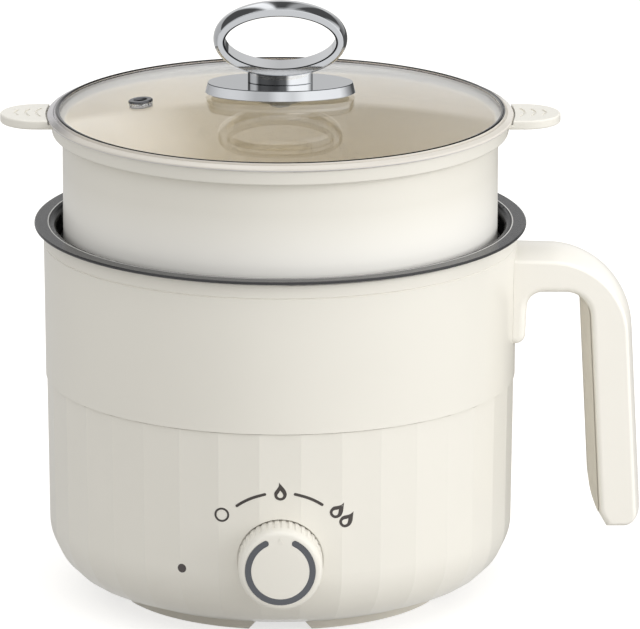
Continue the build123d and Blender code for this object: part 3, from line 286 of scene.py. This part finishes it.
def glass(name, shade):
    """Clear glass with faint smears, which lets the lamps' light through."""
    material, nodes = coloured(name, shade, GLASS_DRIFT)
    nodes.shader("Transmission Weight").default_value = 1.0
    nodes.shader("IOR").default_value = GLASS_IOR
    smears = nodes.noise(nodes.own_place(), SMEAR_SCALE, SMEAR_DETAIL)
    nodes.link(nodes.spread(smears, 0, SMEAR_ROUGHNESS, *SMEAR_RANGE), nodes.shader("Roughness"))
    solid = nodes.tree.nodes["Principled BSDF"]
    clear = nodes.add("ShaderNodeBsdfTransparent")
    clear.inputs["Color"].default_value = (*linear(*GLASS_SHADOW), 1)
    mixed = nodes.mixed(nodes.ray("Shadow"), solid.outputs["BSDF"], clear.outputs["BSDF"])
    nodes.link(mixed, nodes.tree.nodes["Material Output"].inputs["Surface"])
    return material


def gloss_cream(name, shade=CREAM, drift=0.012, roughness=0.34):
    """The glossy cream plastic of the outer parts."""
    return surface(name, shade, drift, roughness, 0.03, 2400, 0.006, Coat_Weight=0.15)


def mirror_chrome(name, shade=CHROME, roughness=0.04):
    """The bright chrome of the lid's ring, post and disc."""
    return surface(name, shade, 0.01, roughness, 0.02, 300, 0.0005, Metallic=1.0)


def tint(material, share, shade):
    """Blends a material's colour towards a shade, by a share built from the object's own places."""
    nodes = Nodes(material.node_tree)
    colour = nodes.shader("Base Color")
    before = colour.links[0].from_socket
    nodes.link(nodes.between(share(nodes, nodes.own_place()), before, linear(*shade)), colour)


def vary(material, socket, share, off, on):
    """Sets a socket to one value where a share is 0 and to another where it is 1."""
    nodes = Nodes(material.node_tree)
    value = nodes.spread(share(nodes, nodes.own_place()), off, on, 0, 1)
    nodes.link(value, nodes.shader(socket))


# ---- steamer: paler at the foot of its outer wall as painted light, and warmer inside as painted shade ---
steamer_low, steamer_high = span("steamer_basket")
# The inner wall lies in from the rim's edge, and steps further in for the plug that enters the pot.
WALL_INSET = 5.9
STEP_DEPTH = 3.0
PAINTED_INNER_SHADE_FADE = 0.4
# Heights over the underside: where the painted inner shade starts, and where the inner wall steps in. The
# painted light at the foot is full up to its first height and gone at its second.
PAINTED_INNER_SHADE_START = 1.0
STEP_HEIGHT = 19.5
PAINTED_FOOT_LIGHT_HEIGHTS = (32, 52)
PAINTED_FOOT_LIGHT_SHARE = 0.9


def steamer_painted_inner_shade(nodes, place):
    """Where the inner shade is painted: the inner faces, which lie within a smaller radius below the step
    than above it.
    """
    step = steamer_low.z + STEP_HEIGHT
    radius = steamer_high.y - WALL_INSET
    above = nodes.level_band(place, step, steamer_high.z + PAST)
    below = nodes.level_band(place, steamer_low.z + PAINTED_INNER_SHADE_START, step)
    upper = nodes.both(nodes.within(place, radius, PAINTED_INNER_SHADE_FADE), above)
    lower = nodes.both(nodes.within(place, radius - STEP_DEPTH, PAINTED_INNER_SHADE_FADE), below)
    return nodes.either(upper, lower)


def steamer_painted_foot_light(nodes, place):
    """Where light is painted on the foot of the outer wall, making it paler."""
    full, gone = ((steamer_low.z + height) * MM for height in PAINTED_FOOT_LIGHT_HEIGHTS)
    return nodes.spread(nodes.part(place, "Z"), PAINTED_FOOT_LIGHT_SHARE, 0, full, gone)


# Glossy cream, with painted light making the outer wall's foot paler and a warmer painted shade on the
# inner faces.
def steamer_cream_painted_light():
    material = gloss_cream("steamer_cream_painted_light")
    tint(material, steamer_painted_foot_light, (250, 248, 242))
    tint(material, steamer_painted_inner_shade, (246, 236, 214))
    return material


# ---- lid band: a painted dark shade in its crease, and towards the front painted reflections, a cream hem below and a dark crown above ---
LID_GAP = 0.2
LID_SEAT = steamer_high.z + LID_GAP
CREASE = (LID_SEAT + 1.25, LID_SEAT + 2.05)
CROWN_HEIGHT = 3.0
# How far a place counts as the front, where the band's reflections are painted, by azimuth (degrees).
FRONT_STOPS = ((-180, 0), (-84, 0), (-60, 1), (100, 1), (128, 0), (180, 0))


# The front, where the band is no metal and its reflections are painted.
def band_front_of_painted_reflections(nodes, place):
    return nodes.around(place, FRONT_STOPS)


# Painted reflection: a cream hem below the crease, towards the front.
def band_painted_hem_reflection(nodes, place):
    return nodes.both(nodes.level_band(place, LID_SEAT - PAST, CREASE[0]), band_front_of_painted_reflections(nodes, place))


# Painted reflection: a dark crown above the crease, towards the front.
def band_painted_crown_reflection(nodes, place):
    level = nodes.level_band(place, CREASE[1], CREASE[1] + CROWN_HEIGHT)
    return nodes.both(level, band_front_of_painted_reflections(nodes, place))


# Painted shade: a dark line in the crease all round.
def band_painted_crease_shade(nodes, place):
    return nodes.level_band(place, *CREASE)


def band_steel_painted_reflections():
    """Brushed steel that turns to non-metal towards the front, where its reflections are painted: a cream
    hem below and a dark crown above. Its crease has a painted dark shade.
    """
    material = surface("band_steel_painted_reflections", (206, 204, 206), 0.02, 0.14, 0.05, 500, 0.002, BRUSHED)
    vary(material, "Metallic", band_front_of_painted_reflections, 1, 0)
    tint(material, band_painted_hem_reflection, (212, 207, 198))
    tint(material, band_painted_crown_reflection, (22, 21, 22))
    tint(material, band_painted_crease_shade, (12, 12, 13))
    return material


# ---- inner pot: a painted highlight round the lip of its mouth, and a well inside it darker with painted shade and duller ---
pot_high = span("inner_pot")[1]
LIP_INSET = 5.6
LIP_RADIUS = pot_high.y - LIP_INSET
LIP_WIDTH = 0.34
LIP_FADE = 0.12
LIP_DEPTH = 1.2
WELL_FADE = 0.3
COATING_SHINE = 0.5
WELL_SHINE = 0.08


# The well inside the lip, where shade is painted darker and the coating is duller.
def pot_well_of_painted_shade(nodes, place):
    return nodes.within(place, LIP_RADIUS, WELL_FADE)


# A painted highlight: a pale line round the lip of the mouth.
def pot_painted_lip_highlight(nodes, place):
    offset = nodes.calculate("SUBTRACT", nodes.radius(place), LIP_RADIUS * MM)
    away = nodes.calculate("ABSOLUTE", offset)
    near = nodes.spread(away, 1, 0, LIP_WIDTH / 2 * MM, (LIP_WIDTH / 2 + LIP_FADE) * MM)
    return nodes.both(near, nodes.level_band(place, pot_high.z - LIP_DEPTH, pot_high.z + PAST))


# Dark coating with a painted shade in the well and a painted highlight on the lip.
def pot_coating_painted_light():
    material = surface("pot_coating_painted_light", (44, 44, 46), 0.25, 0.2, 0.06, 1400, 0.008)
    vary(material, "Specular IOR Level", pot_well_of_painted_shade, COATING_SHINE, WELL_SHINE)
    tint(material, pot_well_of_painted_shade, (9, 9, 9))
    tint(material, pot_painted_lip_highlight, (206, 206, 204))
    return material


# ---- ring: painted dark reflections as lines round its mouth -----------------------------------
MOUTH_HALF_LENGTH = 22.5
MOUTH_HALF_HEIGHT = 10.75
# The line is full up to the first of these multiples of the mouth's size and gone at the second.
MOUTH_LINE = (1.028, 1.042)
# How far behind the ring's faces the line starts and is full.
EDGE_START = 0.5
EDGE_FULL = 0.38


def ring_painted_dark_reflection(nodes, place):
    """Where dark reflections are painted: the small roundings at the ring's mouth, with the edge of its
    faces.
    """
    low, high = span("ring_handle")
    middle = (low.z + high.z) / 2
    scale = (1 / MM / MOUTH_HALF_LENGTH, 0, 1 / MM / MOUTH_HALF_HEIGHT)
    oval = nodes.mapped(place, scale, (0, 0, -middle / MOUTH_HALF_HEIGHT))
    mouth = nodes.spread(nodes.length(oval), 1, 0, *MOUTH_LINE)
    away = nodes.calculate("ABSOLUTE", nodes.part(place, "Y"))
    edge = nodes.spread(away, 0, 1, (high.y - EDGE_START) * MM, (high.y - EDGE_FULL) * MM)
    return nodes.both(mouth, edge)


# Chrome with painted dark reflections round the mouth.
def ring_chrome_painted_reflection():
    material = mirror_chrome("ring_chrome_painted_reflection")
    tint(material, ring_painted_dark_reflection, (30, 31, 33))
    return material


# ---- disc: a thin painted dark reflection along the top of its side ----------------------------
# How far below the disc's top the painted line starts and ends.
DISC_LINE = (0.32, 0.03)
DISC_FADE = 0.02


# Painted reflection: a thin dark line along the top of the disc's side.
def disc_painted_dark_reflection(nodes, place):
    low, high = (span("lid_base_disc")[1].z - depth for depth in DISC_LINE)
    return nodes.level_band(place, low, high, DISC_FADE)


def disc_chrome_painted_reflection():
    material = mirror_chrome("disc_chrome_painted_reflection")
    tint(material, disc_painted_dark_reflection, (70, 72, 75))
    return material


# ---- post: dark streaks across its front as painted reflections, on chrome painted paler -------
POST_HALF = 13.2
# How dark the post's painted reflections are, from its left end at 0 to its right end at 1.
POST_PAINTED_STREAKS = (
    (0, 0.95), (0.03, 0.92), (0.045, 0.35), (0.12, 0.4), (0.17, 0.93),
    (0.3, 0.88), (0.45, 0.93), (0.58, 0.86), (0.64, 0.0), (1, 0.0),
)


def post_painted_streak_reflections(nodes, place):
    along = nodes.spread(nodes.part(place, "X"), 0, 1, -POST_HALF * MM, POST_HALF * MM)
    return nodes.ramp(along, POST_PAINTED_STREAKS)


# Chrome paler than the ring's as painted light, with dark streaks as painted reflections.
def post_chrome_painted_reflection():
    material = mirror_chrome("post_chrome_painted_reflection", (248, 249, 250), 0.05)
    tint(material, post_painted_streak_reflections, (24, 25, 28))
    return material


# ---- materials of the CAD nodes ----------------------------------------------------------------
# A surface's numbers are how far its colour drifts, its roughness and how far that wanders, and the
# fineness and relief of its grain.
NODE_FINISH = {
    # The handle's cream is paler than the body's, as painted light.
    "handle_shell": gloss_cream("handle_cream_painted_light", (246, 243, 235), 0.01, 0.32),
    "steamer_basket": steamer_cream_painted_light(),
    "inner_pot": pot_coating_painted_light(),
    "lid_rim_band": band_steel_painted_reflections(),
    "ring_handle": ring_chrome_painted_reflection(),
    "lid_base_disc": disc_chrome_painted_reflection(),
    "lid_post": post_chrome_painted_reflection(),
    "vent_eyelet": surface("eyelet_chrome", (96, 97, 100), 0.2, 0.1, 0.05, 900, 0.003, Metallic=1.0),
}
SLOT_FINISH = {
    "cream_gloss": gloss_cream("cream_gloss"),
    "cream_matte": surface("cream_matte", (224, 219, 207), 0.015, 0.5, 0.05, 1800, 0.012),
    "seal_rubber": surface("seal_rubber", (150, 140, 122), 0.05, 0.6, 0.05, 900, 0.01),
    "pad_rubber": surface("pad_rubber", (84, 84, 86), 0.1, 0.7, 0.06, 700, 0.03),
    "zinc_steel": surface("zinc_steel", (186, 188, 192), 0.08, 0.34, 0.08, 700, 0.01, Metallic=1.0),
    "dark_chrome": surface("dark_chrome", (100, 102, 106), 0.05, 0.22, 0.05, 800, 0.003, Metallic=1.0),
    "cast_aluminium": surface("cast_aluminium", (184, 186, 188), 0.08, 0.5, 0.1, 500, 0.05, Metallic=1.0),
    "sheet_aluminium": surface("sheet_aluminium", (198, 200, 203), 0.05, 0.3, 0.08, 300, 0.01,
                               ROLLED, Metallic=1.0),
    "element_sheath": surface("element_sheath", (110, 112, 106), 0.15, 0.45, 0.1, 500, 0.02, Metallic=0.9),
    "tempered_glass": glass("tempered_glass", (250, 249, 246)),
    "clear_silicone": surface("clear_silicone", (214, 213, 208), 0.03, 0.45, 0.05, 900, 0.01,
                              Transmission_Weight=0.3),
    "black_plastic": surface("black_plastic", (34, 34, 36), 0.1, 0.42, 0.06, 1600, 0.012),
    "white_plastic": surface("white_plastic", (226, 225, 220), 0.03, 0.4, 0.05, 1600, 0.01),
    "smoked_lens": surface("smoked_lens", (60, 52, 50), 0.1, 0.14, 0.04, 900, 0.003, Coat_Weight=0.6),
    "lamp_glass": glass("lamp_glass", (246, 222, 188)),
    "brass_contact": surface("brass_contact", (208, 170, 98), 0.06, 0.26, 0.07, 600, 0.006, Metallic=1.0),
    "wire_sleeve": surface("wire_sleeve", (196, 194, 186), 0.05, 0.5, 0.05, 1200, 0.01),
    "ceramic_body": surface("ceramic_body", (222, 216, 202), 0.04, 0.55, 0.06, 900, 0.02),
}

for part in frame["record"]["subparts"]:
    name = part["node"]
    materials = frame["nodes"][name].data.materials
    materials.clear()
    materials.append(NODE_FINISH[name] if name in NODE_FINISH else SLOT_FINISH[part["material_slot"]])


# ---- printed marks round the knob --------------------------------------------------------------
# Places on the wall are counted right and up from the knob's axis, and turns clockwise from straight up.
INK = surface("printed_ink", (64, 59, 56), 0.12, 0.5, 0.06, 2600, 0.004)
INK_RISE = 0.08
INK_SINK = 0.02
MARK_STEP = 0.4
ARC_RADIUS = 28.4
ARC_WIDTH = 1.15
ARC_SPANS = {"mark_arc_low": (-38.6, -11.4), "mark_arc_high": (10.8, 37.0)}
# Where an arc's round ends have their points, as turns about the end's middle (degrees).
ARC_END_TURNS = (8, 30, 55, 80)
OFF_PLACE = (-23.3, 18.5)
OFF_RADIUS = 2.55
OFF_WIDTH = 0.8
# Each flame: the middle of its body, and its lean to the right in degrees.
FLAMES = {
    "mark_flame_low": ((0.0, 27.6), 0),
    "mark_flame_high_1": ((22.1, 19.6), 46),
    "mark_flame_high_2": ((25.9, 15.5), 46),
}
FLAME_RIGHT = ((-0.5, 5.0), (0.75, 3.5), (2.0, 1.9), (2.55, 0.1), (1.75, -1.75), (0.0, -2.4))
FLAME_LEFT = ((-0.5, 5.0), (-0.62, 3.6), (-1.3, 2.4), (-2.4, 0.7), (-1.95, -1.5), (0.0, -2.4))
HOLE_RIGHT = ((-0.1, 1.75), (0.5, 1.1), (1.0, 0.35), (1.2, -0.35), (0.85, -1.05), (0.1, -1.35))
HOLE_LEFT = ((-0.1, 1.75), (-0.4, 1.05), (-0.95, 0.35), (-1.2, -0.35), (-0.85, -1.05), (0.1, -1.35))
FLAME_SAMPLES = 18


class Wall:
    """The front wall of the lower housing."""

    def __init__(self):
        mesh = frame["nodes"]["lower_housing"].data
        points = [vertex.co.copy() for vertex in mesh.vertices]
        self.tree = BVHTree.FromPolygons(points, [tuple(face.vertices) for face in mesh.polygons])
        low, high = span("control_knob")
        self.origin = Vector(((low.x + high.x) / 2, low.y, (low.z + high.z) / 2))

    def at(self, right, up):
        """The point of the wall at a place, and its way out."""
        start = (self.origin + Vector((right, 0, up))) * MM
        hit, _, _, _ = self.tree.ray_cast(start, Vector((0, 1, 0)))
        return hit, Vector((hit.x, hit.y, 0)).normalized()


def printed(name, wall, pairs, closed):
    """A thin raised band on the wall between pairs of edge points."""
    verts = []
    for pair in pairs:
        for place in pair:
            hit, out = wall.at(*place)
            verts.append(hit + out * INK_RISE * MM)
            verts.append(hit - out * INK_SINK * MM)
    faces = []
    count = len(pairs)
    for index in range(count if closed else count - 1):
        here = 4 * index
        there = 4 * ((index + 1) % count)
        for first, second in ((0, 2), (2, 3), (3, 1), (1, 0)):
            faces.append((here + first, there + first, there + second, here + second))
    if not closed:
        last = 4 * (count - 1)
        faces += [(0, 2, 3, 1), (last, last + 1, last + 3, last + 2)]
    mesh = bpy.data.meshes.new(name)
    mesh.from_pydata([tuple(v) for v in verts], [], faces)
    shape = bmesh.new()
    shape.from_mesh(mesh)
    bmesh.ops.recalc_face_normals(shape, faces=shape.faces)
    shape.to_mesh(mesh)
    shape.free()
    mesh.materials.append(INK)
    piece = bpy.data.objects.new(name, mesh)
    bpy.context.scene.collection.objects.link(piece)
    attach(piece, "base")


def polar(radius, turn):
    """The place at a radius and a turn in radians."""
    return radius * math.sin(turn), radius * math.cos(turn)


def arc_pairs(start, end):
    """Edge points of an arc about the knob's axis, with round ends."""
    length = math.radians(end - start) * ARC_RADIUS
    half = ARC_WIDTH / 2
    ends = [half * (1 - math.cos(math.radians(turn))) for turn in ARC_END_TURNS]
    steps = round(length / MARK_STEP)
    middle = [length * index / steps for index in range(1, steps)]
    middle = [station for station in middle if half < station < length - half]
    pairs = []
    for station in sorted({*ends, *middle, *(length - end for end in ends)}):
        near = min(station, length - station, half)
        reach = math.sqrt(half**2 - (half - near) ** 2)
        turn = math.radians(start) + station / ARC_RADIUS
        pairs.append([polar(ARC_RADIUS + side * reach, turn) for side in (1, -1)])
    return pairs


def circle_pairs(middle, radius, width):
    """Outer and inner edge points of a circle's line."""
    steps = round(2 * math.pi * radius / MARK_STEP)
    pairs = []
    for index in range(steps):
        turn = 2 * math.pi * index / steps
        edges = [polar(radius + side * width / 2, turn) for side in (1, -1)]
        pairs.append([(middle[0] + right, middle[1] + up) for right, up in edges])
    return pairs


def smooth_line(points, samples):
    """Samples of a Catmull-Rom curve through the points, without its last point.

    It is level at its last point, where the outline's other side meets it.
    """
    points = [Vector(point) for point in points]
    mirrored = Vector((points[-2].x - points[-1].x, points[-1].y - points[-2].y))
    chain = [points[0] * 2 - points[1], *points, points[-1] - mirrored]
    stretches = len(points) - 1
    line = []
    for index in range(samples):
        first = int(stretches * index / samples)
        t = stretches * index / samples - first
        a, b, c, d = chain[first:first + 4]
        square = (2 * a - 5 * b + 4 * c - d) * t**2
        cube = (3 * b - a - 3 * c + d) * t**3
        line.append(0.5 * (2 * b + (c - a) * t + square + cube))
    return line


def leaned(point, middle, turn):
    """A point of an upright flame, leaned to the right and moved to the flame's middle."""
    right = middle[0] + point.x * math.cos(turn) + point.y * math.sin(turn)
    up = middle[1] - point.x * math.sin(turn) + point.y * math.cos(turn)
    return right, up


def flame_pairs(middle, lean):
    """Outer and inner edge points of a hollow flame."""
    edges = []
    for right, left in ((FLAME_RIGHT, FLAME_LEFT), (HOLE_RIGHT, HOLE_LEFT)):
        down = smooth_line(right, FLAME_SAMPLES)
        up = smooth_line(left, FLAME_SAMPLES)
        edges.append(down + [Vector(right[-1])] + up[:0:-1])
    turn = math.radians(lean)
    return [[leaned(point, middle, turn) for point in pair] for pair in zip(*edges)]


def make_marks():
    """The off mark, the two arcs and the three flames."""
    wall = Wall()
    printed("mark_off", wall, circle_pairs(OFF_PLACE, OFF_RADIUS, OFF_WIDTH), True)
    for name, (start, end) in ARC_SPANS.items():
        printed(name, wall, arc_pairs(start, end), False)
    for name, (middle, lean) in FLAMES.items():
        printed(name, wall, flame_pairs(middle, lean), True)


# ---- stage -------------------------------------------------------------------------------------
# The floor's half-width, the lamps' places and widths, and their aim are in metres.
FLOOR_HALF = 6.0
FLOOR_SHADE = (184, 182, 178)
FLOOR_GLOW = 0.68
# Brightness of the floor in reflections, by azimuth from the front (degrees).
FLOOR_STOPS = (
    (-180, 0.7), (-150, 0.6), (-120, 0.5), (-95, 0.7), (-54, 0.9), (-23, 0.75), (-6, 0.92), (6, 0.98),
    (40, 1.0), (75, 0.9), (100, 0.4), (130, 0.12), (172, 0.1), (176, 0.7), (180, 0.7),
)
# Brightness of the studio in reflections, by azimuth from the front (degrees). The base lies below the
# rings, which have the elevations where they start and where they are full.
STUDIO_BASE = (
    (-180, 0.68), (-176, 0.72), (-168, 0.8), (-160, 0.6), (-130, 0.6), (-100, 0.76), (-75, 0.96),
    (-54, 1.03), (-37, 0.98), (-23, 0.73), (-11, 0.73), (0, 1.2), (11, 1.0), (23, 1.35), (75, 1.3),
    (100, 0.6), (130, 0.1), (160, 0.5), (166, 0.7), (175, 0.8), (180, 0.68),
)
STUDIO_MIDDLE = (
    (-180, 0.1), (-177.4, 0.1), (-174.6, 1.4), (-169, 1.4), (-164, 0.1), (-125, 0.1), (-100, 0.4),
    (-60, 0.6), (-20, 0.5), (10, 0.9), (60, 1.2), (105, 1.1), (130, 1.0), (142, 0.1), (166, 0.1),
    (169, 0.5), (173, 0.5), (176.6, 0.1), (180, 0.1),
)
STUDIO_TOP = ((-180, 0.9), (-90, 1.1), (0, 1.3), (90, 1.3), (180, 0.9))
STUDIO_RINGS = ((15.6, 17.5, STUDIO_MIDDLE), (50, 62, STUDIO_TOP))
FILL_LEVEL = 0.94
# Each lamp's place, width and power (watts).
LAMPS = {"key": ((2.2, -1.1, 0.9), 1.4, 30), "top": ((0.4, -0.2, 2.2), 1.6, 6)}
LAMP_AIM = Vector((0, 0, 0.1))


def floor_material():
    """A pale, glowing floor to the camera, one that varies in reflections, and none from below."""
    material = bpy.data.materials.new("floor")
    material.use_nodes = True
    nodes = Nodes(material.node_tree)
    nodes.tree.nodes.clear()
    glossy = nodes.ray("Glossy")
    matte = nodes.add("ShaderNodeBsdfDiffuse")
    nodes.link(nodes.between(glossy, linear(*FLOOR_SHADE), BLACK), matte.inputs["Color"])
    geometry = nodes.add("ShaderNodeNewGeometry")
    mirrored = nodes.between(glossy, BLACK, nodes.around(geometry.outputs["Position"], FLOOR_STOPS))
    glow = nodes.add("ShaderNodeEmission")
    nodes.link(nodes.between(nodes.seen(), mirrored, grey(FLOOR_GLOW)), glow.inputs["Color"])
    upper = nodes.add("ShaderNodeAddShader")
    nodes.link(matte.outputs[0], upper.inputs[0])
    nodes.link(glow.outputs[0], upper.inputs[1])
    below = nodes.add("ShaderNodeBsdfTransparent")
    sides = nodes.mixed(geometry.outputs["Backfacing"], upper.outputs[0], below.outputs[0])
    nodes.link(sides, nodes.add("ShaderNodeOutputMaterial").inputs["Surface"])
    return material


def make_floor():
    mesh = bpy.data.meshes.new("floor")
    corners = [(-FLOOR_HALF, -FLOOR_HALF, 0), (FLOOR_HALF, -FLOOR_HALF, 0)]
    corners += [(FLOOR_HALF, FLOOR_HALF, 0), (-FLOOR_HALF, FLOOR_HALF, 0)]
    mesh.from_pydata(corners, [], [(0, 1, 2, 3)])
    mesh.materials.append(floor_material())
    floor = bpy.data.objects.new("floor", mesh)
    bpy.context.scene.collection.objects.link(floor)


def make_world():
    """White to the camera, the studio in reflections, and an even fill for all other rays."""
    world = bpy.data.worlds.new("studio")
    bpy.context.scene.world = world
    world.use_nodes = True
    nodes = Nodes(world.node_tree)
    way = nodes.add("ShaderNodeTexCoord").outputs["Generated"]
    studio = nodes.rings(way, STUDIO_BASE, STUDIO_RINGS)
    lit = nodes.between(nodes.ray("Glossy"), grey(FILL_LEVEL), studio)
    colour = nodes.between(nodes.seen(), lit, WHITE)
    nodes.link(colour, nodes.tree.nodes["Background"].inputs["Color"])


def make_lamp(name, place, width, power):
    """A soft square lamp aimed at the pot's middle, hidden from reflections and from glass."""
    lamp = bpy.data.lights.new(name, "AREA")
    lamp.shape = "SQUARE"
    lamp.size = width
    lamp.energy = power
    holder = bpy.data.objects.new(name, lamp)
    bpy.context.scene.collection.objects.link(holder)
    holder.location = place
    holder.rotation_euler = (LAMP_AIM - holder.location).to_track_quat("-Z", "Y").to_euler()
    holder.visible_glossy = False
    holder.visible_transmission = False


# ---- camera ------------------------------------------------------------------------------------
# It matches the photo's picture: its width, the pot's axis in it and the focal length are in pixels.
FRAME_WIDTH = 640
AXIS_PIXEL = 280.34
FOCAL_PIXELS = 7484.06
SENSOR_WIDTH = 36.0
CAMERA_DISTANCE = 3053.8 * MM
CAMERA_PITCH = math.radians(15.22)
CAMERA_AIM = Vector((0, 0, 113.6 * MM))


def make_camera():
    data = bpy.data.cameras.new("camera")
    data.sensor_width = SENSOR_WIDTH
    data.lens = FOCAL_PIXELS * SENSOR_WIDTH / FRAME_WIDTH
    data.shift_x = (FRAME_WIDTH / 2 - AXIS_PIXEL) / FRAME_WIDTH
    camera = bpy.data.objects.new("camera", data)
    bpy.context.scene.collection.objects.link(camera)
    back = Vector((0, -math.cos(CAMERA_PITCH), math.sin(CAMERA_PITCH)))
    camera.location = CAMERA_AIM + back * CAMERA_DISTANCE
    camera.rotation_euler = (-back).to_track_quat("-Z", "Y").to_euler()
    bpy.context.scene.camera = camera


make_marks()
make_floor()
make_world()
make_camera()
for name, values in LAMPS.items():
    make_lamp(name, *values)
bpy.context.scene.view_settings.view_transform = "Standard"
